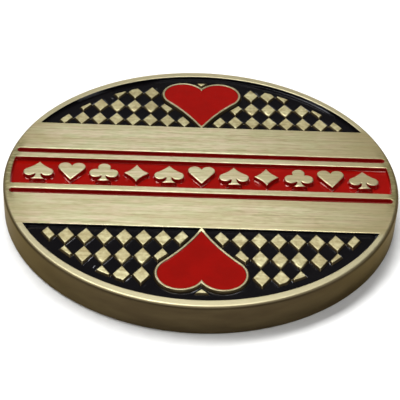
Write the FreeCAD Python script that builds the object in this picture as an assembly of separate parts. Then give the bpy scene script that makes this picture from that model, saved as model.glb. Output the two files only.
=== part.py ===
"""Metal dealer button for card games: a struck brass disc with soft enamel poured into its recesses.

Frame: origin at the centre of the resting face, +Z up, X along the red band, Y across it. Millimetres.
The disc carries the same relief on both faces. The reverse is the obverse turned half a turn about X.
Each pool of enamel is cast in place in its own recess, so each is a piece of its own.
"""

import FreeCAD, Part  # FreeCAD has to come before Part
import math
import os

from FreeCAD import Vector

# Disc
DIAMETER = 50.8
THICKNESS = 4.2
EDGE_RADIUS = 0.5
RADIUS = DIAMETER / 2

# Heights, measured down from a face
RECESS_DEPTH = 0.8
LOZENGE_TOP_DEPTH = 0.23
FIELD_ENAMEL_DEPTH = 0.52
PINSTRIPE_ENAMEL_DEPTH = 0.64
HEART_ENAMEL_DEPTH = 0.08
CHECK_ENAMEL_DEPTH = 0.45
OVERSHOOT = 0.5

# Segments above and below the bands, their arcs struck from a point short of the disc's middle
ARC_CENTRE_Y = -0.65
RIM_INNER_RADIUS = 24.7
SEGMENT_START_Y = 10.95

# Red band in the middle, with a pinstripe each side
FIELD_HALF_HEIGHT = 2.85
FIELD_END_RADIUS = 24.45
PINSTRIPE_Y = 4.4
PINSTRIPE_WIDTH = 0.95
PINSTRIPE_END_X = 24.25

# Heart: two round lobes and slightly hollow flanks that touch them, meeting in a point
LOBE_X = 2.5
LOBE_Y = 19.33
LOBE_RADIUS = 2.69
LOBE_CROWN_ANGLE = 45.0
FLANK_RADIUS = 24.6
FLANK_JOIN_ANGLE = 45.0
HEART_WALL = 0.36

# Harlequin check of raised lozenges
LOZENGE_PITCH_X = 2.34
LOZENGE_PITCH_Y = 3.45
FIRST_ROW_Y = 12.78
ROWS = 4
COLUMNS_EACH_SIDE = 9
LOZENGE_OVERLAP = 1.05
CHECK_OUTER_RADIUS = 23.4
CHECK_START_Y = 11.05
CHECK_HEART_GAP = 0.35
SMALLEST_LOZENGE_AREA = 1.0

# Raised suit pips in the red band
PIP_PITCH = 4.2
PIP_HALF_HEIGHT = 1.85

# Each pip is the Y of its top middle, then its right half downwards:
# ("arc", x, y on the way, x, y at the end) or ("line", x, y)
SPADE = [
    PIP_HALF_HEIGHT,
    ("arc", 0.66, 1.06, 1.47, 0.42),
    ("arc", 1.7, -0.9, 0.38, -0.67),
    ("arc", 0.46, -1.4, 0.96, -PIP_HALF_HEIGHT),
    ("line", 0.0, -PIP_HALF_HEIGHT),
]
HEART = [
    1.18,
    ("arc", 1.506, 1.586, 1.606, 0.431),
    ("line", 0.0, -PIP_HALF_HEIGHT),
]
CLUB = [
    PIP_HALF_HEIGHT,
    ("arc", 0.72, 1.45, 0.76, 0.62),
    ("arc", 1.85, -0.5, 0.3, -0.73),
    ("arc", 0.45, -1.45, 0.95, -PIP_HALF_HEIGHT),
    ("line", 0.0, -PIP_HALF_HEIGHT),
]
DIAMOND = [
    PIP_HALF_HEIGHT,
    ("arc", 0.66, 0.82, 1.6, 0.0),
    ("arc", 0.66, -0.82, 0.0, -PIP_HALF_HEIGHT),
]
LEFT_PIPS = [SPADE, HEART, CLUB, DIAMOND, SPADE]
PIP_ROW = LEFT_PIPS + [HEART] + LEFT_PIPS[::-1]


def point(x, y):
    return Vector(x, y, 0)


def polar(centre, distance, angle):
    """(x, y) at a distance and an angle from a centre."""
    return (centre[0] + distance * math.cos(angle), centre[1] + distance * math.sin(angle))


def polygon(corners):
    return Part.Face(Part.makePolygon([point(*c) for c in corners] + [point(*corners[0])]))


def disc(radius):
    return Part.Face(Part.Wire(Part.makeCircle(radius)))


def strip(low_y, high_y):
    """A rectangle that is wider than the disc."""
    return polygon([(-RADIUS, low_y), (RADIUS, low_y), (RADIUS, high_y), (-RADIUS, high_y)])


def segment(radius, start_y):
    """The part beyond start_y of a disc round the arcs' centre."""
    whole = disc(radius)
    whole.translate(point(0, ARC_CENTRE_Y))
    return whole.common(strip(start_y, RADIUS)).Faces[0]


def symmetric_outline(top_y, path):
    """A closed face from the right half of its outline, mirrored in X = 0."""
    edges = []
    for side in (1, -1):
        here = point(0, top_y)
        for step in path:
            there = point(side * step[-2], step[-1])
            if step[0] == "arc":
                edges.append(Part.Arc(here, point(side * step[1], step[2]), there).toShape())
            else:
                edges.append(Part.LineSegment(here, there).toShape())
            here = there
    return Part.Face(Part.Wire(Part.sortEdges(edges)[0]))


def heart(margin):
    """The upper heart, with its point towards the bands: the enamel's outline grown by a margin."""
    lobe = (LOBE_X, LOBE_Y)
    join = -math.radians(FLANK_JOIN_ANGLE)
    flank = polar(lobe, LOBE_RADIUS + FLANK_RADIUS, join)
    lobe_radius, flank_radius = LOBE_RADIUS + margin, FLANK_RADIUS - margin
    cleft_y = LOBE_Y + math.sqrt(lobe_radius**2 - LOBE_X**2)
    tip_y = flank[1] + math.sqrt(flank_radius**2 - flank[0] ** 2)
    tip_angle = math.atan2(tip_y - flank[1], -flank[0])
    crown_point = polar(lobe, lobe_radius, math.radians(LOBE_CROWN_ANGLE))
    flank_point = polar(flank, flank_radius, (join + math.pi + tip_angle) / 2)
    return symmetric_outline(
        cleft_y,
        [
            ("arc", *crown_point, *polar(lobe, lobe_radius, join)),
            ("arc", *flank_point, 0.0, tip_y),
        ],
    )


def lozenge(x, y, half_width, half_height):
    return polygon([(x - half_width, y), (x, y - half_height), (x + half_width, y), (x, y + half_height)])


def raised_check():
    """The raised lozenges of the upper segment, cut off short of the rim and of the heart."""
    field = segment(CHECK_OUTER_RADIUS, CHECK_START_Y).cut(heart(HEART_WALL + CHECK_HEART_GAP))
    pieces = []
    for row in range(ROWS):
        for column in range(-COLUMNS_EACH_SIDE, COLUMNS_EACH_SIDE + 1):
            whole = lozenge(
                column * LOZENGE_PITCH_X,
                FIRST_ROW_Y + row * LOZENGE_PITCH_Y,
                LOZENGE_PITCH_X / 2 * LOZENGE_OVERLAP,
                LOZENGE_PITCH_Y / 2 * LOZENGE_OVERLAP,
            )
            pieces += [f for f in whole.common(field).Faces if f.Area > SMALLEST_LOZENGE_AREA]
    return pieces


def pips():
    """The row of suit pips, centred in the band."""
    faces = []
    for i, (top_y, *path) in enumerate(PIP_ROW):
        face = symmetric_outline(top_y, path)
        face.translate(point((i - (len(PIP_ROW) - 1) / 2) * PIP_PITCH, 0))
        faces.append(face)
    return faces


def pinstripe():
    """The upper pinstripe: a slot with round ends."""
    half = PINSTRIPE_WIDTH / 2
    end = PINSTRIPE_END_X - half
    edges = [
        Part.LineSegment(point(-end, -half), point(end, -half)).toShape(),
        Part.Arc(point(end, -half), point(end + half, 0), point(end, half)).toShape(),
        Part.LineSegment(point(end, half), point(-end, half)).toShape(),
        Part.Arc(point(-end, half), point(-end - half, 0), point(-end, -half)).toShape(),
    ]
    face = Part.Face(Part.Wire(edges))
    face.translate(point(0, PINSTRIPE_Y))
    return face


def opposite(shape):
    """The same shape for the lower half of a face: mirrored in Y = 0."""
    return shape.mirror(Vector(0, 0, 0), Vector(0, 1, 0))


def raise_solid(face, low_depth, high_depth):
    """A prism on the face, from low_depth to high_depth below the obverse."""
    solid = face.copy()
    solid.translate(Vector(0, 0, THICKNESS - low_depth))
    return solid.extrude(Vector(0, 0, low_depth - high_depth))


def reverse_of(shape):
    """An obverse piece's twin on the reverse: half a turn about X, through the disc's middle."""
    twin = shape.copy()
    twin.rotate(Vector(0, 0, THICKNESS / 2), Vector(1, 0, 0), 180)
    return twin


def enamel_outlines():
    """Every pool of enamel on one face, as {name: (faces, depth of the enamel's surface)}."""
    recess = segment(RIM_INNER_RADIUS, SEGMENT_START_Y).cut(heart(HEART_WALL)).Faces[0]
    black = sorted(recess.cut(raised_check()).Faces, key=lambda f: -f.Area)
    border, cells = black[0], black[1:]
    field = disc(FIELD_END_RADIUS).common(strip(-FIELD_HALF_HEIGHT, FIELD_HALF_HEIGHT)).Faces[0]
    stripe = pinstripe()
    pools = {
        "title_field": (field.cut(pips()).Faces, FIELD_ENAMEL_DEPTH),
        "upper_pinstripe": ([stripe], PINSTRIPE_ENAMEL_DEPTH),
        "upper_heart": ([heart(0)], HEART_ENAMEL_DEPTH),
        "upper_check_border": ([border], CHECK_ENAMEL_DEPTH),
        "upper_left_check": ([c for c in cells if c.CenterOfMass.x < 0], CHECK_ENAMEL_DEPTH),
        "upper_right_check": ([c for c in cells if c.CenterOfMass.x > 0], CHECK_ENAMEL_DEPTH),
    }
    for name in [n for n in pools if n.startswith("upper_")]:
        faces, depth = pools[name]
        pools[name.replace("upper_", "lower_")] = ([opposite(f) for f in faces], depth)
    return pools, recess


def button_body(pools, recess):
    """The struck disc: rounded edges, a pocket for each pool on both faces, and the lowered lozenges."""
    body = Part.makeCylinder(RADIUS, THICKNESS)
    rims = [e for e in body.Edges if isinstance(e.Curve, Part.Circle)]
    body = body.makeFillet(EDGE_RADIUS, rims)
    pockets = []
    for faces, _ in pools.values():
        pockets += [raise_solid(f, RECESS_DEPTH, -OVERSHOOT) for f in faces]
    for face in (recess, opposite(recess)):
        pockets.append(raise_solid(face, LOZENGE_TOP_DEPTH, -OVERSHOOT))
    pockets += [reverse_of(p) for p in pockets]
    return body.cut(pockets)


def export(name, solids):
    shape = solids[0] if len(solids) == 1 else Part.makeCompound(solids)
    shape.exportStep(os.path.join("parts", name + ".step"))
    volume = sum(s.Volume for s in solids)
    print(f"{name}: {len(solids)} solid(s), {volume:.1f} mm3, valid {all(s.isValid() for s in solids)}")


def main():
    os.makedirs("parts", exist_ok=True)
    pools, recess = enamel_outlines()
    export("button_body", button_body(pools, recess).Solids)
    for name, (faces, depth) in pools.items():
        fills = [raise_solid(f, RECESS_DEPTH, depth) for f in faces]
        export(f"obverse_{name}_enamel", fills)
        export(f"reverse_{name}_enamel", [reverse_of(f) for f in fills])


main()
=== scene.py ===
"""Metal dealer button with soft enamel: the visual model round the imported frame.

Outlines are in millimetres, with the disc's middle at the origin, and depths in millimetres below a face.
A distance from an outline is positive inside it, and a margin moves an outline outwards.
The relief of a face is one height field, and the reverse is the same field turned half a turn about X.
"""

import math

import bmesh
import bpy
import numpy as np
from mathutils import Matrix, Vector
from mathutils.geometry import delaunay_2d_cdt


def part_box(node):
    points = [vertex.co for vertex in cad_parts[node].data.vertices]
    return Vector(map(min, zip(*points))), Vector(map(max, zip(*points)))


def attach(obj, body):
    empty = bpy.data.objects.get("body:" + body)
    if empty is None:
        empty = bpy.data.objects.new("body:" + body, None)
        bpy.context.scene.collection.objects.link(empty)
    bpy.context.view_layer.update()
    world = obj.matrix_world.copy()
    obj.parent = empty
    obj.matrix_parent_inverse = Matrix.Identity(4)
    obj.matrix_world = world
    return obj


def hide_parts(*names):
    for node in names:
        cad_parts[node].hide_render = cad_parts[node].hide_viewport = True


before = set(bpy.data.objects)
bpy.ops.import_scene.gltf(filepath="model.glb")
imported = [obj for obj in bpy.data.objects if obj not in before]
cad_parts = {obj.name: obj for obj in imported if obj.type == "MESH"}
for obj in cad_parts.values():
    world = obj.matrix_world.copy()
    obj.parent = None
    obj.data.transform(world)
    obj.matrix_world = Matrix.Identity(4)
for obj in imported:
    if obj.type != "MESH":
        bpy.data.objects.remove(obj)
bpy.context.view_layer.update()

MM = 0.001
BODY_LOW, BODY_HIGH = (np.array(corner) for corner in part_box("button_body"))
RADIUS = (BODY_HIGH[0] - BODY_LOW[0]) / 2 / MM
THICKNESS = (BODY_HIGH[2] - BODY_LOW[2]) / MM
EDGE_RADIUS = 0.45
EDGE_ANGLES = (11, 23, 36, 50, 64, 77, 90)

# Relief of the metal: depths below the face, the fillet of its edges and the lean of its walls
RECESS_DEPTH = 0.8
LOZENGE_TOP_DEPTH = 0.23
RING_DROP = 0.1
FILLET = 0.12
WALL_DRAFT = 0.03

# The slope round the outside of a heart's ring, as (distance outwards, depth)
RING_SKIRT = [(0.0, 0.22), (0.05, 0.27), (0.1, 0.36), (0.15, 0.53), (0.18, 0.8)]

# The side of a lozenge, as (distance inside its outline, depth)
CHECK_PROFILE = [
    (0.33, LOZENGE_TOP_DEPTH),
    (0.28, LOZENGE_TOP_DEPTH),
    (0.235, LOZENGE_TOP_DEPTH + 0.01),
    (0.195, LOZENGE_TOP_DEPTH + 0.04),
    (0.145, LOZENGE_TOP_DEPTH + 0.1),
    (0.09, LOZENGE_TOP_DEPTH + 0.18),
    (0.04, LOZENGE_TOP_DEPTH + 0.25),
    (-0.03, RECESS_DEPTH),
]

# Plan of the metal, as in the CAD model
ARC_CENTRE = (0.0, -0.65)
RIM_INNER_RADIUS = 24.7
SEGMENT_START_Y = 10.95
FIELD_HALF_HEIGHT = 2.85
FIELD_END_RADIUS = 24.45
PINSTRIPE_Y = 4.4
PINSTRIPE_HALF_WIDTH = 0.475
PINSTRIPE_END_X = 24.25
LOBE_X = 2.5
LOBE_Y = 19.33
LOBE_RADIUS = 2.69
FLANK_RADIUS = 24.6
FLANK_JOIN_ANGLE = math.radians(45)
FLANK_CENTRE = (
    LOBE_X + (LOBE_RADIUS + FLANK_RADIUS) * math.cos(FLANK_JOIN_ANGLE),
    LOBE_Y - (LOBE_RADIUS + FLANK_RADIUS) * math.sin(FLANK_JOIN_ANGLE),
)
HEART_WALL = 0.36
LOZENGE_PITCH_X = 2.34
LOZENGE_PITCH_Y = 3.45
LOZENGE_HALF = np.array([LOZENGE_PITCH_X, LOZENGE_PITCH_Y]) / 2
LOZENGE_INNER_RADIUS = LOZENGE_HALF[0] * LOZENGE_HALF[1] / np.hypot(*LOZENGE_HALF)
FIRST_ROW_Y = 12.78
ROWS = 4
COLUMNS_EACH_SIDE = 9
LOZENGE_GROWTH = 0.055
CHECK_OUTER_RADIUS = 23.4
CHECK_START_Y = 11.05
CHECK_HEART_GAP = 0.35
SMALLEST_LOZENGE_SHARE = 0.25
PIP_PITCH = 4.2
PIP_HALF_HEIGHT = 1.85

# Each pip is the Y of its top middle, then its right half downwards:
# ("arc", x, y on the way, x, y at the end) or ("line", x, y)
SPADE = [
    PIP_HALF_HEIGHT,
    ("arc", 0.66, 1.06, 1.47, 0.42),
    ("arc", 1.7, -0.9, 0.38, -0.67),
    ("arc", 0.46, -1.4, 0.96, -PIP_HALF_HEIGHT),
    ("line", 0.0, -PIP_HALF_HEIGHT),
]
HEART = [
    1.18,
    ("arc", 1.506, 1.586, 1.606, 0.431),
    ("line", 0.0, -PIP_HALF_HEIGHT),
]
CLUB = [
    PIP_HALF_HEIGHT,
    ("arc", 0.72, 1.45, 0.76, 0.62),
    ("arc", 1.85, -0.5, 0.3, -0.73),
    ("arc", 0.45, -1.45, 0.95, -PIP_HALF_HEIGHT),
    ("line", 0.0, -PIP_HALF_HEIGHT),
]
DIAMOND = [
    PIP_HALF_HEIGHT,
    ("arc", 0.66, 0.82, 1.6, 0.0),
    ("arc", 0.66, -0.82, 0.0, -PIP_HALF_HEIGHT),
]
LEFT_PIPS = [SPADE, HEART, CLUB, DIAMOND, SPADE]
PIP_ROW = LEFT_PIPS + [HEART] + LEFT_PIPS[::-1]

# Enamel: how far a pool reaches into the metal, and the film that it leaves on the walls that it coats
POOL_OVERLAP = 0.04
FILM_TOP = 0.06
FILM_THICKNESS = 0.04

# Depth of each pool in its middle
FIELD_POOL_DEPTH = 0.64
PINSTRIPE_POOL_DEPTH = 0.68
CHECK_POOL_DEPTH = 0.5
HEART_POOL_DEPTH = 0.2

# How a pool climbs a wall, as (rise at the wall, distance over which it dies away)
FIELD_CLIMB = (0.12, 0.13)
PINSTRIPE_CLIMB = (0.12, 0.1)
HEART_CLIMB = (0.03, 0.12)
CHECK_RIM_CLIMB = (0.05, 0.2)
CHECK_HEART_CLIMB = (0.05, 0.15)
LOZENGE_CLIMB = (0.04, 0.17)

# The climb against the lozenges is weaker at the edge of the check
EDGE_CLIMB_LOSS = 0.8
EDGE_CLIMB_REACH = 0.6

# Mesh fineness
RIM_POINTS = 360
RIM_RING_GAP = 0.08
LONG_CURVE_STEP = 0.4
CURVE_STEP = 0.14
FINE_GRID = 0.3
COARSE_GRID = 0.5

# Distances of the mesh's contours from an outline: of the metal's edges, of a pool and of its film
MAIN_RINGS = [FILLET + 0.05] + [FILLET * (1 - math.sin(math.radians(a))) for a in (0, 25, 50, 72)]
MAIN_RINGS += [0.0, -WALL_DRAFT]
POOL_RINGS = [-POOL_OVERLAP, 0.0, FILM_THICKNESS, 0.065, 0.1, 0.15, 0.22, 0.32, 0.46]
FILM_RINGS = [0.004, FILM_THICKNESS - 0.004]

# Outside FAR_START, a point is simply FAR away. Within ON_OUTLINE, it counts as on the outline
FAR = 50.0
FAR_START = 2.0
ON_OUTLINE = 0.003
REPEAT_GAP = 1e-4
SLIVER_AREA = 1e-12
POINTS_AT_ONCE = 2000


# ---------------------------------------------------------------- outlines


def arc_points(centre, radius, start, end, step):
    """Points on an arc, both ends included. Angles in radians, turning from start to end."""
    count = max(3, math.ceil(abs(end - start) * radius / step) + 1)
    angles = np.linspace(start, end, count)
    return np.column_stack([centre[0] + radius * np.cos(angles), centre[1] + radius * np.sin(angles)])


def arc_through(a, b, c, step):
    """Points on the arc from a through b to c."""
    a, b, c = (np.array(p, float) for p in (a, b, c))
    rows = np.array([b - a, c - a]) * 2
    centre = np.linalg.solve(rows, [b @ b - a @ a, c @ c - a @ a])
    radius = np.hypot(*(a - centre))
    start, middle, end = (math.atan2(*(p - centre)[::-1]) for p in (a, b, c))
    turn = (end - start) % math.tau
    if (middle - start) % math.tau > turn:
        turn -= math.tau
    return arc_points(centre, radius, start, start + turn, step)


def without_repeats(points):
    """A closed loop with no point on top of the one before it."""
    gap = np.hypot(*(points - np.roll(points, 1, axis=0)).T)
    return points[gap > REPEAT_GAP]


def mirrored_x(right_half):
    """A closed loop from its right half, which runs from X = 0 to X = 0."""
    left_half = right_half[::-1] * (-1, 1)
    return without_repeats(np.vstack([right_half, left_half]))


def pip_outline(top_y, path):
    """A suit pip's loop, from the path of its right half."""
    runs = []
    here = (0.0, top_y)
    for step in path:
        there = step[-2:]
        if step[0] == "arc":
            runs.append(arc_through(here, step[1:3], there, CURVE_STEP))
        else:
            runs.append(np.array([here, there], float))
        here = there
    return mirrored_x(np.vstack(runs))


def heart_outline(margin):
    """The upper heart: the enamel's outline grown by a margin, clockwise from the cleft."""
    radius = LOBE_RADIUS + margin
    cleft = math.acos(-LOBE_X / radius)
    lobe = arc_points((LOBE_X, LOBE_Y), radius, cleft, -FLANK_JOIN_ANGLE, CURVE_STEP)
    tip_angle = math.acos(-FLANK_CENTRE[0] / (FLANK_RADIUS - margin))
    join_angle = math.pi - FLANK_JOIN_ANGLE
    flank = arc_points(FLANK_CENTRE, FLANK_RADIUS - margin, join_angle, tip_angle, LONG_CURVE_STEP)
    return mirrored_x(np.vstack([lobe, flank]))


def flank_x(y, margin):
    """Where the right flank of the heart's outline is, at a height."""
    return FLANK_CENTRE[0] - math.sqrt((FLANK_RADIUS - margin) ** 2 - (y - FLANK_CENTRE[1]) ** 2)


def field_outline(margin):
    """The middle band's red field, grown by a margin."""
    radius = FIELD_END_RADIUS + margin
    angle = math.asin((FIELD_HALF_HEIGHT + margin) / radius)
    right = arc_points((0, 0), radius, -angle, angle, LONG_CURVE_STEP)
    return np.vstack([right, -right])


def pinstripe_outline(margin):
    """The upper pinstripe, grown by a margin."""
    radius = PINSTRIPE_HALF_WIDTH + margin
    end = (PINSTRIPE_END_X - PINSTRIPE_HALF_WIDTH, 0)
    right = arc_points(end, radius, -math.pi / 2, math.pi / 2, CURVE_STEP)
    return np.vstack([right, -right]) + (0, PINSTRIPE_Y)


def lozenge_outline(column, row, margin):
    """A lozenge of the check, its sides moved out by a margin."""
    x, y = column * LOZENGE_PITCH_X, row * LOZENGE_PITCH_Y + FIRST_ROW_Y
    width, height = LOZENGE_HALF * (1 + (margin + LOZENGE_GROWTH) / LOZENGE_INNER_RADIUS)
    return np.array([(x + width, y), (x, y + height), (x - width, y), (x, y - height)])


def segment_outline(radius, start_y, heart_margin):
    """A segment above start_y without the heart: one loop, because the heart's tip crosses start_y."""
    corner = math.asin((start_y - ARC_CENTRE[1]) / radius)
    arc = arc_points(ARC_CENTRE, radius, corner, math.pi - corner, LONG_CURVE_STEP)
    heart = heart_outline(heart_margin)
    tip = np.argmin(heart[:, 1])
    heart = np.roll(heart, -tip, axis=0)
    kept = heart[heart[:, 1] > start_y + 0.01]
    flank = np.array([flank_x(start_y, heart_margin), start_y])
    return np.vstack([arc, [flank * (-1, 1)], kept, [flank]])


def recess_outline(margin):
    """The recess of the upper segment, grown by a margin."""
    return segment_outline(RIM_INNER_RADIUS + margin, SEGMENT_START_Y - margin, HEART_WALL - margin)


def check_outline(margin):
    """The area that the upper check is cut to, grown by a margin."""
    heart_margin = HEART_WALL + CHECK_HEART_GAP - margin
    return segment_outline(CHECK_OUTER_RADIUS + margin, CHECK_START_Y - margin, heart_margin)


def flipped(loop):
    """The same loop in the lower half."""
    return loop * (1, -1)


def in_upper_half(points):
    """The points, with those of the lower half mirrored into the upper one."""
    return np.column_stack([points[:, 0], abs(points[:, 1])])


# ---------------------------------------------------------------- distances


def signed_distance(points, loop):
    """Distance from each point to a closed loop, positive inside, and -FAR well outside."""
    result = np.full(len(points), -FAR)
    low, high = loop.min(axis=0) - FAR_START, loop.max(axis=0) + FAR_START
    near = np.flatnonzero(np.all((points > low) & (points < high), axis=1))
    starts, ends = loop, np.roll(loop, -1, axis=0)
    runs = ends - starts
    lengths = (runs**2).sum(axis=1)
    for chunk in np.array_split(near, max(1, len(near) // POINTS_AT_ONCE)):
        if not len(chunk):
            continue
        p = points[chunk][:, None, :]
        along = np.clip(((p - starts) * runs).sum(axis=2) / lengths, 0, 1)
        gap = p - (starts + along[..., None] * runs)
        distance = np.sqrt((gap**2).sum(axis=2).min(axis=1))
        crosses = (starts[:, 1] > p[..., 1]) != (ends[:, 1] > p[..., 1])
        safe = np.where(runs[:, 1] == 0, 1.0, runs[:, 1])
        cut_x = starts[:, 0] + (p[..., 1] - starts[:, 1]) * runs[:, 0] / safe
        inside = (crosses & (p[..., 0] < cut_x)).sum(axis=1) % 2 == 1
        result[chunk] = np.where(inside, distance, -distance)
    return result


def union(points, loops):
    """Distance inside the union of several loops."""
    return np.max([signed_distance(points, loop) for loop in loops], axis=0)


def nearest_lozenge(points):
    """For each point of the upper segment: the column and row of a lozenge, and the distance inside it."""
    x = points[:, 0] / LOZENGE_PITCH_X
    y = (points[:, 1] - FIRST_ROW_Y) / LOZENGE_PITCH_Y
    column, row = np.round(x), np.round(y)
    inside = (1 - 2 * abs(x - column) - 2 * abs(y - row)) * LOZENGE_INNER_RADIUS
    return column.astype(int), row.astype(int), inside


def check_clip(points):
    """Distance inside the area that the upper check is cut to."""
    rim = CHECK_OUTER_RADIUS - np.hypot(*(points - ARC_CENTRE).T)
    band = points[:, 1] - CHECK_START_Y
    heart = -signed_distance(points, heart_outline(HEART_WALL + CHECK_HEART_GAP))
    return np.min([rim, band, heart], axis=0)


def kept_lozenges():
    """The lozenges of the upper check of which more than a sliver is left, as a set of (column, row)."""
    kept = set()
    ticks = np.linspace(-0.5, 0.5, 31)
    u, v = (g.ravel() for g in np.meshgrid(ticks, ticks))
    whole = abs(u) + abs(v) < 0.5
    for row in range(ROWS):
        for column in range(-COLUMNS_EACH_SIDE, COLUMNS_EACH_SIDE + 1):
            x = (column + u[whole]) * LOZENGE_PITCH_X
            y = (row + v[whole]) * LOZENGE_PITCH_Y + FIRST_ROW_Y
            share = (check_clip(np.column_stack([x, y])) > 0).mean()
            if share > SMALLEST_LOZENGE_SHARE:
                kept.add((column, row))
    return kept


def check_distance(points, kept):
    """Distance inside the raised check. Works for both halves of the face."""
    points = in_upper_half(points)
    columns, rows, inside = nearest_lozenge(points)
    stays = np.array([lozenge in kept for lozenge in zip(columns, rows)])
    inside = np.where(stays, inside + LOZENGE_GROWTH, -FAR)
    return np.minimum(inside, check_clip(points))


# ---------------------------------------------------------------- the metal's relief


def fillet_depth(distance):
    """Depth of the metal at a distance inside an edge of the main level."""
    short_of_top = FILLET - np.clip(distance, 0, FILLET)
    round_part = FILLET - np.sqrt(np.clip(FILLET**2 - short_of_top**2, 0, None))
    wall = FILLET + (RECESS_DEPTH - FILLET) * np.clip(-distance / WALL_DRAFT, 0, 1)
    return np.where(distance >= 0, round_part, wall)


def pip_loops():
    """The row of suit pips, centred in the band."""
    middle = (len(PIP_ROW) - 1) / 2
    loops = []
    for i, (top_y, *path) in enumerate(PIP_ROW):
        loops.append(pip_outline(top_y, path) + ((i - middle) * PIP_PITCH, 0))
    return loops


def sunk_loops(margin):
    """Every recess of the main level, grown by a margin."""
    segment = recess_outline(margin)
    heart = heart_outline(margin)
    stripe = pinstripe_outline(margin)
    return [segment, heart, stripe, field_outline(margin), flipped(segment), flipped(heart), flipped(stripe)]


def main_distance(points, pips):
    """Distance inside the main level, which is the top plane of the face."""
    level = -union(points, sunk_loops(0.0))
    return np.maximum(level, union(points, pips))


def offset_points(loop, distance):
    """A loop moved inwards by a distance, without the points that the move folds over."""
    before = loop - np.roll(loop, 1, axis=0)
    after = np.roll(loop, -1, axis=0) - loop
    before /= np.hypot(*before.T)[:, None]
    after /= np.hypot(*after.T)[:, None]
    area = np.cross(loop, np.roll(loop, -1, axis=0)).sum()
    bisector = before + after
    bisector /= np.maximum(np.hypot(*bisector.T), 1e-6)[:, None]
    normal = np.column_stack([-bisector[:, 1], bisector[:, 0]]) * np.sign(area)
    stretch = 1 / np.maximum((before * bisector).sum(axis=1), 0.3)
    moved = loop + normal * (distance * stretch)[:, None]
    reached = abs(signed_distance(moved, loop))
    return moved[reached > abs(distance) - 1e-3]


class Plan:
    """Collects the points and lines of a plan, and triangulates them."""

    def __init__(self):
        self.points = []
        self.lines = []

    def add_loop(self, loop):
        first = len(self.points)
        self.points += [tuple(p) for p in loop]
        count = len(loop)
        self.lines += [(first + i, first + (i + 1) % count) for i in range(count)]

    def add_points(self, points):
        self.points += [tuple(p) for p in points]

    def add_parts(self, loop, distance_inside):
        """The parts of a straight-sided loop that lie in an area, or all of it if it is well inside."""
        well_inside, just_outside = 0.3, -0.12
        if (distance_inside(loop) > well_inside).all():
            self.add_loop(loop)
            return
        ticks = np.linspace(0, 1, 13)[:, None]
        for start, end in zip(loop, np.roll(loop, -1, axis=0)):
            run = start + (end - start) * ticks
            near = np.flatnonzero(distance_inside(run) > just_outside)
            first = len(self.points)
            self.points += [tuple(p) for p in run[near]]
            for i in range(len(near) - 1):
                if near[i] + 1 == near[i + 1]:
                    self.lines.append((first + i, first + i + 1))

    def add_plan(self, other, y_sign):
        """Another plan, with its Y multiplied by y_sign."""
        first = len(self.points)
        self.points += [(x, y * y_sign) for x, y in other.points]
        self.lines += [(first + a, first + b) for a, b in other.lines]

    def triangles(self):
        """(points, triangles) of the constrained Delaunay triangulation."""
        merge_distance = 5e-4
        places = [Vector(p) for p in self.points]
        points, _, faces, *_ = delaunay_2d_cdt(places, self.lines, [], 0, merge_distance)
        return np.array([tuple(p) for p in points]), np.array([f for f in faces if len(f) == 3])


def add_check_rings(plan, kept):
    """The raised check's contours at every station of its profile, in both halves."""
    upper = Plan()
    for distance, _ in CHECK_PROFILE:
        for column, row in sorted(kept):
            upper.add_parts(lozenge_outline(column, row, -distance), check_clip)
        upper.add_loop(check_outline(-distance))
    plan.add_plan(upper, 1)
    plan.add_plan(upper, -1)


def with_heart_rings(points, depth):
    """The metal's depths with each heart's ring a little lower and a slope round its outside."""
    points = in_upper_half(points)
    to_outer = signed_distance(points, heart_outline(HEART_WALL))
    to_inner = -signed_distance(points, heart_outline(0.0))
    from_band = np.clip(points[:, 1] - SEGMENT_START_Y, 0, 1)
    on_ring = np.minimum(to_outer, to_inner) > -ON_OUTLINE
    depth = np.where(on_ring, np.minimum(depth, FILLET) + RING_DROP * from_band, depth)
    skirt = np.interp(-to_outer, *zip(*RING_SKIRT))
    return np.where(to_outer < -ON_OUTLINE, np.minimum(depth, skirt), depth)


def with_check(points, depth, kept):
    """The metal's depths with the lozenges raised out of the recesses."""
    in_segment = (abs(points[:, 1]) > SEGMENT_START_Y) & (depth > LOZENGE_TOP_DEPTH)
    raised = np.full(len(points), RECESS_DEPTH)
    raised[in_segment] = np.interp(check_distance(points[in_segment], kept), *zip(*CHECK_PROFILE[::-1]))
    return np.minimum(depth, raised)


def face_relief(kept, pips):
    """One face of the metal: (points, depths, triangles)."""
    plan = Plan()
    flat_radius = RADIUS - EDGE_RADIUS
    angles = np.arange(RIM_POINTS) * math.tau / RIM_POINTS
    circle = np.column_stack([np.cos(angles), np.sin(angles)])
    for radius in (flat_radius, flat_radius - RIM_RING_GAP):
        plan.add_loop(circle * radius)
    for distance in MAIN_RINGS:
        for loop in sunk_loops(distance):
            plan.add_loop(loop)
        for loop in pips:
            plan.add_loop(offset_points(loop, distance))
    for distance, _ in RING_SKIRT[1:]:
        loop = heart_outline(HEART_WALL + distance)
        plan.add_loop(loop)
        plan.add_loop(flipped(loop))
    add_check_rings(plan, kept)
    points, triangles = plan.triangles()
    depth = fillet_depth(main_distance(points, pips))
    depth = with_heart_rings(points, depth)
    return points, with_check(points, depth, kept), triangles


# ---------------------------------------------------------------- meshes


def drop_loose(mesh):
    """Removes the points that no face uses."""
    shape = bmesh.new()
    shape.from_mesh(mesh)
    bmesh.ops.delete(shape, geom=[v for v in shape.verts if not v.link_faces], context="VERTS")
    shape.to_mesh(mesh)
    shape.free()


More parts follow.
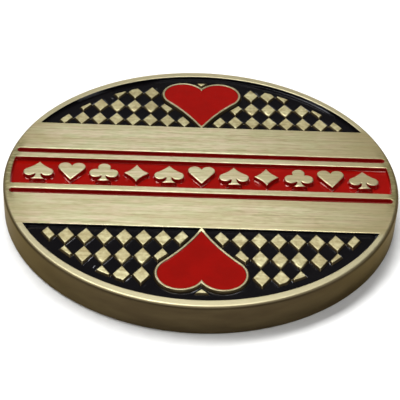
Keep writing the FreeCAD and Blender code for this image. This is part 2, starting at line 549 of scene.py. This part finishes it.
def new_piece(name, vertices, faces, material, node):
    """A smooth-shaded mesh object from vertices in millimetres, standing for one CAD node."""
    mesh = bpy.data.meshes.new(name)
    mesh.from_pydata([tuple(v) for v in vertices], [], [tuple(f) for f in faces])
    mesh.transform(Matrix.Scale(MM, 4))
    mesh.validate()
    drop_loose(mesh)
    mesh.polygons.foreach_set("use_smooth", [True] * len(mesh.polygons))
    mesh.materials.append(material)
    piece = bpy.data.objects.new(name, mesh)
    bpy.context.scene.collection.objects.link(piece)
    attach(piece, "root")
    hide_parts(node)


def counterclockwise(points, triangles):
    """The triangles, without slivers and all turned the same way."""
    a, b, c = (points[triangles[:, i]] for i in range(3))
    area = np.cross(b - a, c - a)
    triangles = triangles[abs(area) > SLIVER_AREA]
    area = area[abs(area) > SLIVER_AREA]
    return np.where((area > 0)[:, None], triangles, triangles[:, ::-1])


def turned_over(vertices):
    """An obverse point's place on the reverse: half a turn about X through the disc's middle."""
    return vertices * (1, -1, -1) + (0, 0, THICKNESS)


def edge_rings(angles):
    """The rounded edges and the side wall, as rings from the obverse down to the reverse."""
    centre_radius, centre_z = RADIUS - EDGE_RADIUS, THICKNESS - EDGE_RADIUS
    upper = []
    for turn in map(math.radians, EDGE_ANGLES):
        upper.append((centre_radius + EDGE_RADIUS * math.sin(turn), centre_z + EDGE_RADIUS * math.cos(turn)))
    upper.append((RADIUS, centre_z - 0.12))
    lower = [(radius, THICKNESS - z) for radius, z in upper[::-1]]
    rings = []
    for radius, z in upper + [(RADIUS, THICKNESS / 2)] + lower:
        ring = [np.cos(angles) * radius, np.sin(angles) * radius, np.full(len(angles), z)]
        rings.append(np.column_stack(ring))
    return rings


def build_body(kept, pips, material):
    """The metal: the relief of both faces, joined by the edges and the side wall."""
    points, depth, triangles = face_relief(kept, pips)
    triangles = counterclockwise(points, triangles)
    top = np.column_stack([points, THICKNESS - depth])
    bottom = turned_over(top)
    on_edge = np.flatnonzero(np.hypot(*points.T) > RADIUS - EDGE_RADIUS - 1e-3)
    angles = np.arctan2(points[on_edge, 1], points[on_edge, 0])
    order = np.argsort(angles)
    top_edge, angles = on_edge[order], angles[order]
    bottom_edge = top_edge[np.argsort(-angles)] + len(top)
    blocks = [top, bottom] + edge_rings(angles)
    vertices = np.vstack(blocks)
    faces = [tuple(t) for t in triangles] + [tuple(t + len(top)) for t in triangles]
    rows = [top_edge]
    first = len(top) + len(bottom)
    for ring in blocks[2:]:
        rows.append(np.arange(first, first + len(ring)))
        first += len(ring)
    rows.append(bottom_edge)
    for upper, lower in zip(rows, rows[1:]):
        for i in range(len(upper)):
            j = (i + 1) % len(upper)
            faces.append((upper[i], lower[i], lower[j], upper[j]))
    new_piece("metal_body", vertices, faces, material, "button_body")


def closed_pool(points, depth, triangles):
    """A pool of enamel as a closed mesh: its surface, its walls and its flat bottom. (vertices, faces)"""
    triangles = counterclockwise(points, triangles)
    used, inverse = np.unique(triangles, return_inverse=True)
    points, depth, triangles = points[used], depth[used], inverse.reshape(triangles.shape)
    surface = np.column_stack([points, THICKNESS - depth])
    floor = np.column_stack([points, np.full(len(points), THICKNESS - RECESS_DEPTH)])
    count = len(points)
    faces = [tuple(t) for t in triangles] + [tuple(t[::-1] + count) for t in triangles]
    directed = {(t[i], t[(i + 1) % 3]) for t in triangles for i in range(3)}
    for a, b in directed:
        if (b, a) not in directed:
            faces.append((a, a + count, b + count, b))
    faces.sort()
    return np.vstack([surface, floor]), faces


def add_pool_pair(name, pool, material):
    """The obverse's pool and its twin on the reverse."""
    vertices, faces = pool
    for side, places in (("obverse", vertices), ("reverse", turned_over(vertices))):
        new_piece(f"{side}_{name}", places, faces, material, f"{side}_{name}_enamel")


def mirrored_pool(pool):
    """The same pool in the other half of the face."""
    vertices, faces = pool
    return vertices * (1, -1, 1), [tuple(f[::-1]) for f in faces]


def grid_over(loop, step):
    """A staggered grid over the box of a loop."""
    low, high = loop.min(axis=0), loop.max(axis=0)
    row_share = 0.866
    points = []
    for i, y in enumerate(np.arange(low[1], high[1], step * row_share)):
        x = np.arange(low[0] + (i % 2) * step / 2, high[0], step)
        points.append(np.column_stack([x, np.full(len(x), y)]))
    return np.vstack(points)


def climb_height(distance, climb):
    """How far enamel stands above its pool's depth at a distance from a wall."""
    rise, reach = climb
    return rise * np.exp(-np.clip(distance, 0, None) / reach)


def film(distance, foot):
    """Depth of enamel beside a wall that it coats: a thin film that reaches down to the foot's depth."""
    return FILM_TOP + (foot - FILM_TOP) * np.clip(distance / FILM_THICKNESS, 0, 1)


def coated(distance, pool_depth, climb):
    """Depth of enamel at a distance from a wall that it coats and climbs."""
    return film(distance, pool_depth - climb_height(distance - FILM_THICKNESS, climb))


# ---------------------------------------------------------------- pools of enamel


def pool_from(plan, region, surface):
    """What lies in the region of a triangulated plan: (points, depth, triangles)."""
    points, triangles = plan.triangles()
    centres = points[triangles].mean(axis=1)
    triangles = triangles[region(centres)]
    return points, surface(points), triangles


def heart_pool():
    """The upper heart, which fills its ring almost to the top."""
    plan = Plan()
    outline = heart_outline(0.0)
    for distance in POOL_RINGS:
        plan.add_loop(offset_points(outline, distance))
    grid = grid_over(outline, COARSE_GRID)
    plan.add_points(grid[signed_distance(grid, outline) > 0.6])

    def region(points):
        return signed_distance(points, outline) > -POOL_OVERLAP

    def surface(points):
        return HEART_POOL_DEPTH - climb_height(signed_distance(points, outline), HEART_CLIMB)

    return closed_pool(*pool_from(plan, region, surface))


def pinstripe_pool():
    """The upper pinstripe, which coats its walls."""
    plan = Plan()
    for distance in POOL_RINGS + FILM_RINGS:
        if distance < PINSTRIPE_HALF_WIDTH - 0.05:
            plan.add_loop(pinstripe_outline(-distance))
    outline = pinstripe_outline(0.0)
    plan.add_points([(x, PINSTRIPE_Y) for x in np.arange(-23.5, 23.6, COARSE_GRID)])

    def region(points):
        return signed_distance(points, outline) > -POOL_OVERLAP

    def surface(points):
        return coated(signed_distance(points, outline), PINSTRIPE_POOL_DEPTH, PINSTRIPE_CLIMB)

    return closed_pool(*pool_from(plan, region, surface))


def field_pool(pips):
    """The middle band's red, which coats its walls and the sides of the pips."""
    plan = Plan()
    for distance in POOL_RINGS + FILM_RINGS:
        plan.add_loop(field_outline(-distance))
        for loop in pips:
            plan.add_loop(offset_points(loop, -distance))
    outline = field_outline(0.0)
    grid = grid_over(outline, FINE_GRID)
    clear = np.minimum(signed_distance(grid, outline), -union(grid, pips)) > 0.5
    plan.add_points(grid[clear])

    def region(points):
        return (signed_distance(points, outline) > -POOL_OVERLAP) & (union(points, pips) < POOL_OVERLAP)

    def surface(points):
        to_wall = signed_distance(points, outline)
        to_pip = -union(points, pips)
        climbs = climb_height(to_wall, FIELD_CLIMB) + climb_height(to_pip, FIELD_CLIMB)
        return film(np.minimum(to_wall, to_pip), FIELD_POOL_DEPTH - climbs)

    return closed_pool(*pool_from(plan, region, surface))


def check_pools(kept):
    """The black pools of the upper segment: {name: pool}."""
    plan = Plan()
    recess = recess_outline(0.0)
    for distance in POOL_RINGS + FILM_RINGS:
        plan.add_loop(recess_outline(-distance))
    for distance in POOL_RINGS:
        for column, row in sorted(kept):
            plan.add_loop(lozenge_outline(column, row, distance))
        if distance < CHECK_HEART_GAP:
            plan.add_loop(check_outline(distance))
    grid = grid_over(recess, FINE_GRID)
    clear = np.minimum(signed_distance(grid, recess), -check_distance(grid, kept)) > 0.1
    plan.add_points(grid[clear])
    heart = heart_outline(HEART_WALL)

    def region(points):
        in_recess = signed_distance(points, recess) > -POOL_OVERLAP
        return in_recess & (check_distance(points, kept) < POOL_OVERLAP)

    def surface(points):
        to_arc = RIM_INNER_RADIUS - np.hypot(*(points - ARC_CENTRE).T)
        to_rim = np.minimum(to_arc, points[:, 1] - SEGMENT_START_Y)
        at_rim = coated(to_rim, CHECK_POOL_DEPTH, CHECK_RIM_CLIMB)
        at_heart = climb_height(-signed_distance(points, heart), CHECK_HEART_CLIMB)
        at_lozenge = climb_height(-check_distance(points, kept), LOZENGE_CLIMB)
        at_edge = 1 - np.clip(check_clip(points) / EDGE_CLIMB_REACH, 0, 1)
        at_lozenge *= 1 - EDGE_CLIMB_LOSS * at_edge
        return np.minimum(at_rim, CHECK_POOL_DEPTH - np.maximum(at_heart, at_lozenge))

    points, depth, triangles = pool_from(plan, region, surface)
    border, *cells = sorted(connected_groups(triangles), key=len, reverse=True)
    sides = {"upper_left_check": [], "upper_right_check": []}
    for cell in cells:
        middle_x = points[cell].mean(axis=(0, 1))[0]
        sides["upper_left_check" if middle_x < 0 else "upper_right_check"].append(cell)
    pools = {"upper_check_border": closed_pool(points, depth, border)}
    for name, parts in sides.items():
        pools[name] = closed_pool(points, depth, np.vstack(parts))
    return pools


def connected_groups(triangles):
    """Triangles in groups joined by shared edges."""
    by_edge = {}
    for i, t in enumerate(triangles):
        for k in range(3):
            by_edge.setdefault(frozenset((t[k], t[(k + 1) % 3])), []).append(i)
    neighbours = [[] for _ in triangles]
    for pair in by_edge.values():
        if len(pair) == 2:
            neighbours[pair[0]].append(pair[1])
            neighbours[pair[1]].append(pair[0])
    seen = [False] * len(triangles)
    groups = []
    for start in range(len(triangles)):
        if seen[start]:
            continue
        seen[start] = True
        stack, group = [start], []
        while stack:
            i = stack.pop()
            group.append(i)
            for j in neighbours[i]:
                if not seen[j]:
                    seen[j] = True
                    stack.append(j)
        groups.append(triangles[sorted(group)])
    return groups


# ---------------------------------------------------------------- materials


class Nodes:
    """Builds a material's node tree. Lengths in the tree are in millimetres."""

    def __init__(self, name):
        self.material = bpy.data.materials.new(name)
        self.material.use_nodes = True
        self.tree = self.material.node_tree
        self.shader = self.tree.nodes["Principled BSDF"]
        coordinates = self.tree.nodes.new("ShaderNodeTexCoord")
        self.place = self.vector("SCALE", coordinates.outputs["Object"], scale=1 / MM)
        self.normal = self.tree.nodes.new("ShaderNodeNewGeometry").outputs["Normal"]

    def put(self, socket, value):
        if isinstance(value, bpy.types.NodeSocket):
            self.tree.links.new(value, socket)
        else:
            socket.default_value = value

    def vector(self, operation, first, second=None, scale=None):
        node = self.tree.nodes.new("ShaderNodeVectorMath")
        node.operation = operation
        self.put(node.inputs[0], first)
        if second is not None:
            self.put(node.inputs[1], second)
        if scale is not None:
            self.put(node.inputs["Scale"], scale)
        return node.outputs["Value" if operation in ("LENGTH", "DOT_PRODUCT") else "Vector"]

    def math(self, operation, first, second=0.0, clamp=False):
        node = self.tree.nodes.new("ShaderNodeMath")
        node.operation = operation
        node.use_clamp = clamp
        self.put(node.inputs[0], first)
        self.put(node.inputs[1], second)
        return node.outputs["Value"]

    def part(self, vector, axis):
        node = self.tree.nodes.new("ShaderNodeSeparateXYZ")
        self.put(node.inputs[0], vector)
        return node.outputs[axis]

    def noise(self, per_mm, detail=2.0, roughness=0.5, offset=(0, 0, 0)):
        """Noise from 0 to 1, with a frequency per millimetre along each axis."""
        moved = self.vector("ADD", self.place, offset)
        stretched = self.vector("MULTIPLY", moved, per_mm)
        node = self.tree.nodes.new("ShaderNodeTexNoise")
        self.put(node.inputs["Vector"], stretched)
        node.inputs["Scale"].default_value = 1.0
        node.inputs["Detail"].default_value = detail
        node.inputs["Roughness"].default_value = roughness
        return node.outputs["Fac"]

    def ramp(self, value, low, high, to_low=0.0, to_high=1.0):
        """A smooth step from low to high."""
        node = self.tree.nodes.new("ShaderNodeMapRange")
        node.interpolation_type = "SMOOTHSTEP"
        for name, number in (("Value", value), ("From Min", low), ("From Max", high)):
            self.put(node.inputs[name], number)
        node.inputs["To Min"].default_value = to_low
        node.inputs["To Max"].default_value = to_high
        return node.outputs["Result"]

    def mix(self, share, first, second):
        node = self.tree.nodes.new("ShaderNodeMix")
        node.data_type = "RGBA"
        self.put(node.inputs["Factor"], share)
        for socket, value in zip((s for s in node.inputs if s.type == "RGBA"), (first, second)):
            self.put(socket, value if isinstance(value, bpy.types.NodeSocket) else (*value, 1))
        return next(s for s in node.outputs if s.type == "RGBA")

    def mix_numbers(self, share, first, second):
        node = self.tree.nodes.new("ShaderNodeMix")
        self.put(node.inputs["Factor"], share)
        self.put(node.inputs[2], first)
        self.put(node.inputs[3], second)
        return node.outputs[0]

    def bump(self, height, strength, distance, under=None):
        """A normal from a height, distance in millimetres."""
        node = self.tree.nodes.new("ShaderNodeBump")
        self.put(node.inputs["Height"], height)
        self.put(node.inputs["Strength"], strength)
        node.inputs["Distance"].default_value = distance * MM
        if under is not None:
            self.put(node.inputs["Normal"], under)
        return node.outputs["Normal"]


# Colours of the brass where it is brushed
BRUSHED_DARK = (0.24, 0.208, 0.11)
BRUSHED_LIGHT = (0.56, 0.52, 0.35)
PINK_TINT = (0.51, 0.39, 0.30)
GREEN_TINT = (0.36, 0.395, 0.22)
DULL_PATCH = (0.35, 0.305, 0.17)
TARNISH_AT_RIM = (0.21, 0.17, 0.08)
# Painted shade: the brushed brass is darkened towards +X, the right side, as if less light fell there
PAINTED_SHADE_TOWARDS_RIGHT = (0.225, 0.185, 0.095)
RIM_COLOUR = (0.345, 0.315, 0.2)
CRUST_COLOUR = (0.13, 0.115, 0.05)
# Painted shade for the rounded outer edge, which dims its highlight
PAINTED_EDGE_SHADE = (0.19, 0.15, 0.085)

# Colours of the lozenges and of the patina
CAST_DARK = (0.24, 0.205, 0.105)
CAST_LIGHT = (0.47, 0.44, 0.265)
CAST_TARNISH = (0.22, 0.175, 0.085)
PATINA_DARK = (0.058, 0.041, 0.021)
PATINA_LIGHT = (0.096, 0.071, 0.035)

# Colours of the enamel, and of the light that it throws back
RED_LIGHT, RED_DARK, RED_GLINT = (0.245, 0.0025, 0.0012), (0.21, 0.0025, 0.0012), (1, 0.6, 0.52)
BLACK_LIGHT, BLACK_DARK, BLACK_GLINT = (0.003, 0.0025, 0.003), (0.002, 0.0015, 0.002), (0.9, 0.92, 1)


def brushed_colour(n, streak, radius, dimmed_edge):
    """The top planes: streaks along X, faint tints, tarnish towards the rim, painted shade towards +X and on
    the rounded outer edge.
    """
    colour = n.mix(n.ramp(streak, 0.37, 0.63), BRUSHED_DARK, BRUSHED_LIGHT)
    tint = n.noise((0.35, 1.3, 1.3), detail=3, roughness=0.6, offset=(1, 17, 6))
    colour = n.mix(n.ramp(tint, 0.5, 0.62, 0.0, 0.35), colour, PINK_TINT)
    colour = n.mix(n.ramp(tint, 0.38, 0.5, 0.35, 0.0), colour, GREEN_TINT)
    broad = n.noise((0.03, 0.35, 0.35), detail=3, offset=(11, 2, 5))
    colour = n.mix(n.ramp(broad, 0.38, 0.68, 0.0, 0.45), colour, DULL_PATCH)

    scuff = n.noise((0.09, 0.12, 0.12), detail=5, roughness=0.6, offset=(5, 14, 2))
    to_rim = n.math("ADD", radius, n.math("MULTIPLY", scuff, 9.0))
    colour = n.mix(n.ramp(to_rim, 25.0, 31.0, 0.0, 0.5), colour, TARNISH_AT_RIM)
    # Painted shade towards +X, made ragged by noise
    to_shaded_side = n.math("ADD", n.part(n.place, "X"), n.math("MULTIPLY", scuff, 14.0))
    colour = n.mix(n.ramp(to_shaded_side, 4.0, 32.0, 0.0, 0.6), colour, PAINTED_SHADE_TOWARDS_RIGHT)

    from_middle = n.math("ABSOLUTE", n.part(n.place, "Y"))
    on_rim = n.math("MULTIPLY", n.ramp(radius, 23.7, 24.0), n.ramp(from_middle, 10.5, 12.0))
    colour = n.mix(n.math("MULTIPLY", on_rim, 0.8), colour, RIM_COLOUR)
    crust = n.noise((1.2, 2.6, 1.2), detail=4, roughness=0.6, offset=(2, 5, 8))
    band_end = n.math("MULTIPLY", n.ramp(radius, 23.7, 24.6), n.ramp(from_middle, 4.0, 8.5, 1.0, 0.0))
    crusted = n.math("MULTIPLY", band_end, n.ramp(crust, 0.35, 0.6, 0.25, 0.9))
    colour = n.mix(crusted, colour, CRUST_COLOUR)
    # Painted shade on the rounded outer edge
    return n.mix(dimmed_edge, colour, PAINTED_EDGE_SHADE)


def cast_colour(n, streak, grain):
    """The lozenges: rubbed and grainy, some more tarnished than others."""
    rubbed = n.math("ADD", n.math("MULTIPLY", grain, 0.55), n.math("MULTIPLY", streak, 0.45))
    colour = n.mix(n.ramp(rubbed, 0.38, 0.62), CAST_DARK, CAST_LIGHT)
    each = n.noise((0.33, 0.29, 0.3), detail=1, offset=(6, 4, 12))
    return n.mix(n.ramp(each, 0.35, 0.65, 0.0, 0.4), colour, CAST_TARNISH)


def brass_material():
    """Antique brass: brushed along X on the top planes, bare on the lozenges, brown patina elsewhere."""
    n = Nodes("brushed_antique_brass")
    top = THICKNESS / 2
    height = n.math("ABSOLUTE", n.math("SUBTRACT", n.part(n.place, "Z"), top))
    radius = n.vector("LENGTH", n.vector("MULTIPLY", n.place, (1, 1, 0)))
    upward = n.math("ABSOLUTE", n.part(n.normal, "Z"))
    on_plane = n.ramp(height, top - 0.2, top - 0.03)
    sunk = n.ramp(height, top - 0.19, top - 0.14, 1.0, 0.0)
    on_lozenge = n.math("MULTIPLY", n.ramp(upward, 0.72, 0.97), sunk)
    # The rounded outer edge, painted darker and made rougher to dim its highlight
    dimmed_edge = n.math("MULTIPLY", n.ramp(upward, 0.87, 0.998, 0.8, 0.0), n.ramp(radius, 24.7, 24.9))

    fine = n.noise((0.06, 1.7, 1.7), detail=4, roughness=0.65)
    finer = n.noise((0.14, 6.0, 6.0), detail=3, roughness=0.6, offset=(3, 7, 1))
    short = n.noise((0.8, 3.4, 3.4), detail=2, offset=(8, 3, 13))
    long_streak = n.math("ADD", n.math("MULTIPLY", fine, 0.45), n.math("MULTIPLY", finer, 0.3))
    streak = n.math("ADD", long_streak, n.math("MULTIPLY", short, 0.25))
    grain = n.noise((1.6, 1.6, 1.6), detail=5, roughness=0.65, offset=(9, 1, 3))
    stain = n.noise((0.12, 0.12, 0.5), detail=4, roughness=0.55, offset=(2, 8, 4))

    patina = n.mix(n.ramp(stain, 0.25, 0.8), PATINA_DARK, PATINA_LIGHT)
    colour = n.mix(on_lozenge, patina, cast_colour(n, streak, grain))
    colour = n.mix(on_plane, colour, brushed_colour(n, streak, radius, dimmed_edge))
    n.put(n.shader.inputs["Base Color"], colour)
    n.shader.inputs["Metallic"].default_value = 1.0
    n.shader.inputs["Specular Tint"].default_value = (0.85, 0.75, 0.55, 1)

    rough_streaks = n.ramp(streak, 0.3, 0.7, 0.48, 0.36)
    rough_brushed = n.math("ADD", rough_streaks, n.math("MULTIPLY", dimmed_edge, 0.3))
    rough_patina = n.ramp(stain, 0.3, 0.7, 0.42, 0.5)
    n.put(n.shader.inputs["Roughness"], n.mix_numbers(on_plane, rough_patina, rough_brushed))

    pitted = n.bump(grain, n.ramp(on_plane, 0.0, 1.0, 0.25, 0.0), 0.03)
    brushed = n.bump(streak, n.ramp(on_plane, 0.0, 1.0, 0.0, 0.3), 0.02, pitted)
    n.put(n.shader.inputs["Normal"], brushed)
    return n.material


def enamel_material(name, light, dark, glint):
    """Soft enamel: a cured resin, mottled a little, with fine specks and a faint orange peel."""
    n = Nodes(name)
    cloud = n.noise((0.35, 0.35, 0.35), detail=4, roughness=0.6)
    n.put(n.shader.inputs["Base Color"], n.mix(n.ramp(cloud, 0.3, 0.7), dark, light))
    speck = n.noise((6.0, 6.0, 6.0), detail=2, offset=(4, 1, 9))
    n.put(n.shader.inputs["Roughness"], n.ramp(speck, 0.3, 0.7, 0.08, 0.13))
    n.shader.inputs["Coat Weight"].default_value = 0.1
    n.shader.inputs["Coat Roughness"].default_value = 0.05
    n.shader.inputs["Specular Tint"].default_value = (*glint, 1)
    peel = n.noise((1.1, 1.1, 1.1), detail=2, offset=(7, 3, 2))
    n.put(n.shader.inputs["Normal"], n.bump(peel, 0.25, 0.02))
    return n.material


def floor_material():
    """A pale matt board with a faint fibre."""
    n = Nodes("pale_floor")
    fibre = n.noise((0.4, 0.4, 0.4), detail=5)
    colour = n.mix(n.ramp(fibre, 0.3, 0.7), (0.86, 0.86, 0.85), (0.9, 0.9, 0.89))
    n.put(n.shader.inputs["Base Color"], colour)
    n.shader.inputs["Roughness"].default_value = 0.8
    return n.material


# ---------------------------------------------------------------- stage


CAMERA_AZIMUTH = math.radians(-1.67)
CAMERA_ELEVATION = math.radians(36.15)
CAMERA_ROLL = math.radians(2.8)
CAMERA_DISTANCE_IN_RADII = 6.29
CAMERA_LENS = 111.3
CAMERA_SENSOR_WIDTH = 36
CAMERA_SHIFT = (-0.004, -0.063)
FLOOR_HALF_WIDTH = 1.5
WORLD_STRENGTH = 0.06


def add_camera():
    """A long lens in front of the button and above it, aimed at the middle of its upper face."""
    data = bpy.data.cameras.new("camera")
    data.lens = CAMERA_LENS
    data.sensor_width = CAMERA_SENSOR_WIDTH
    data.shift_x, data.shift_y = CAMERA_SHIFT
    camera = bpy.data.objects.new("camera", data)
    bpy.context.scene.collection.objects.link(camera)
    level, height = math.cos(CAMERA_ELEVATION), math.sin(CAMERA_ELEVATION)
    back = Vector((math.sin(CAMERA_AZIMUTH) * level, -math.cos(CAMERA_AZIMUTH) * level, height))
    right = (-back).cross(Vector((0, 0, 1))).normalized()
    up = right.cross(-back)
    turned_right = right * math.cos(CAMERA_ROLL) + up * math.sin(CAMERA_ROLL)
    turned_up = up * math.cos(CAMERA_ROLL) - right * math.sin(CAMERA_ROLL)
    turn = Matrix((turned_right, turned_up, back)).transposed().to_4x4()
    place = Vector((0, 0, THICKNESS * MM)) + back * RADIUS * MM * CAMERA_DISTANCE_IN_RADII
    camera.matrix_world = Matrix.Translation(place) @ turn
    bpy.context.scene.camera = camera


def add_floor():
    mesh = bpy.data.meshes.new("floor")
    half = FLOOR_HALF_WIDTH
    corners = [(-half, -half, 0), (half, -half, 0), (half, half, 0), (-half, half, 0)]
    mesh.from_pydata(corners, [], [(0, 1, 2, 3)])
    mesh.materials.append(floor_material())
    floor = bpy.data.objects.new("floor", mesh)
    bpy.context.scene.collection.objects.link(floor)


def add_softbox(name, azimuth, elevation, distance, size, power):
    """A softbox that points at the button. Azimuth 0 is behind the button, seen from the camera."""
    azimuth, elevation = math.radians(azimuth), math.radians(elevation)
    level = distance * math.cos(elevation)
    data = bpy.data.lights.new(name, "AREA")
    data.shape = "RECTANGLE"
    data.size, data.size_y = size
    data.energy = power
    light = bpy.data.objects.new(name, data)
    light.location = (level * math.sin(azimuth), level * math.cos(azimuth), distance * math.sin(elevation))
    light.rotation_euler = (-light.location).to_track_quat("-Z", "Y").to_euler()
    bpy.context.scene.collection.objects.link(light)


def add_lights():
    """Softboxes all round, kept out of the places that the enamel mirrors from the front, top and sides."""
    world = bpy.data.worlds.new("studio")
    world.use_nodes = True
    background = world.node_tree.nodes["Background"]
    background.inputs["Color"].default_value = (1, 1, 1, 1)
    background.inputs["Strength"].default_value = WORLD_STRENGTH
    bpy.context.scene.world = world
    add_softbox("overhead_softbox", azimuth=-35, elevation=69, distance=0.6, size=(0.6, 0.2), power=4.9)
    add_softbox("back_softbox", azimuth=0, elevation=14, distance=0.6, size=(0.7, 0.12), power=1.0)
    add_softbox("front_softbox", azimuth=180, elevation=48, distance=0.6, size=(0.5, 0.3), power=1.1)
    add_softbox("left_softbox", azimuth=-108, elevation=30, distance=0.7, size=(0.16, 0.3), power=0.5)
    add_softbox("right_softbox", azimuth=108, elevation=30, distance=0.7, size=(0.16, 0.3), power=0.65)
    bpy.context.scene.view_settings.view_transform = "Standard"


# ---------------------------------------------------------------- build


def add_pools(pools, material):
    """The pools of the upper half and their mirror images in the lower half."""
    for name, pool in pools.items():
        add_pool_pair(name, pool, material)
        add_pool_pair(name.replace("upper_", "lower_"), mirrored_pool(pool), material)


def build():
    kept = kept_lozenges()
    pips = pip_loops()
    build_body(kept, pips, brass_material())
    red = enamel_material("red_soft_enamel", RED_LIGHT, RED_DARK, RED_GLINT)
    black = enamel_material("black_soft_enamel", BLACK_LIGHT, BLACK_DARK, BLACK_GLINT)
    add_pool_pair("title_field", field_pool(pips), red)
    add_pools({"upper_pinstripe": pinstripe_pool(), "upper_heart": heart_pool()}, red)
    add_pools(check_pools(kept), black)


build()
add_floor()
add_camera()
add_lights()
